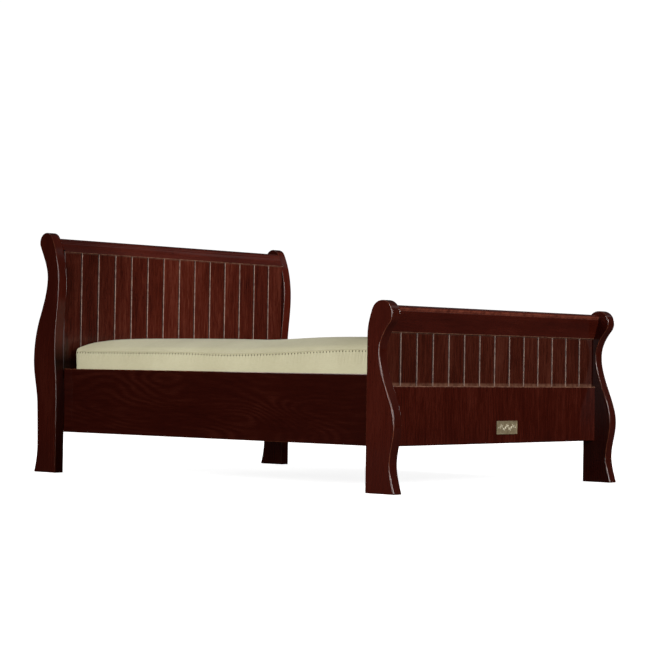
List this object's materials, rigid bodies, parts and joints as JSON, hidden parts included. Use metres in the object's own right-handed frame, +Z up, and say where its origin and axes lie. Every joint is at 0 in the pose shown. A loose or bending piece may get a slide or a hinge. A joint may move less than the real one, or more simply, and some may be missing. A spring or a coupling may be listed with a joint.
{
  "type": "sleigh bed",
  "caption": "Wooden sleigh bed with S-curved posts, rolled crest rails, boarded head and foot panels, deep side rails, a slatted base and a lift-out mattress.",
  "frame": {"origin": "on the floor, under the middle of the bed's outer box", "axes": "+Z up, +Y from the foot end to the head end, +X towards the right-hand side for someone at the foot end who faces the headboard"},
  "size_m": [1.72, 2.3208, 1.1869],
  "materials": {
    "cherry_lacquer": "dark red-brown cherry stain under a clear satin lacquer",
    "pine_base": "planed bare pine",
    "zinc_steel": "bright zinc plate",
    "brass_plate": "aged satin brass",
    "ticking": "matt cream knitted ticking"
  },
  "bodies": {
    "bedstead": {"foot_post_left": "cherry_lacquer", "foot_post_right": "cherry_lacquer", "head_post_left": "cherry_lacquer", "head_post_right": "cherry_lacquer", "foot_crest_rail": "cherry_lacquer", "head_crest_rail": "cherry_lacquer", "foot_lower_rail": "cherry_lacquer", "head_lower_rail": "cherry_lacquer", "side_rail_left": "cherry_lacquer", "side_rail_right": "cherry_lacquer", "foot_board_01": "cherry_lacquer", "foot_board_02": "cherry_lacquer", "foot_board_03": "cherry_lacquer", "foot_board_04": "cherry_lacquer", "foot_board_05": "cherry_lacquer", "foot_board_06": "cherry_lacquer", "foot_board_07": "cherry_lacquer", "foot_board_08": "cherry_lacquer", "foot_board_09": "cherry_lacquer", "foot_board_10": "cherry_lacquer", "foot_board_11": "cherry_lacquer", "foot_board_12": "cherry_lacquer", "foot_board_13": "cherry_lacquer", "foot_board_14": "cherry_lacquer", "head_board_01": "cherry_lacquer", "head_board_02": "cherry_lacquer", "head_board_03": "cherry_lacquer", "head_board_04": "cherry_lacquer", "head_board_05": "cherry_lacquer", "head_board_06": "cherry_lacquer", "head_board_07": "cherry_lacquer", "head_board_08": "cherry_lacquer", "head_board_09": "cherry_lacquer", "head_board_10": "cherry_lacquer", "head_board_11": "cherry_lacquer", "head_board_12": "cherry_lacquer", "head_board_13": "cherry_lacquer", "head_board_14": "cherry_lacquer", "slat_ledger_left": "pine_base", "slat_ledger_right": "pine_base", "centre_beam": "pine_base", "slat_01": "pine_base", "slat_02": "pine_base", "slat_03": "pine_base", "slat_04": "pine_base", "slat_05": "pine_base", "slat_06": "pine_base", "slat_07": "pine_base", "slat_08": "pine_base", "slat_09": "pine_base", "slat_10": "pine_base", "slat_11": "pine_base", "beam_hanger_foot": "zinc_steel", "beam_hanger_head": "zinc_steel", "corner_bracket_foot_left": "zinc_steel", "corner_bracket_foot_right": "zinc_steel", "corner_bracket_head_left": "zinc_steel", "corner_bracket_head_right": "zinc_steel", "name_plate": "brass_plate"},
    "mattress": {"mattress": "ticking"}
  },
  "joints": [
    {"name": "mattress_lift", "type": "slide", "parent": "bedstead", "child": "mattress", "axis": [0, 0, 1], "range_m": [0, 0.45]}
  ]
}
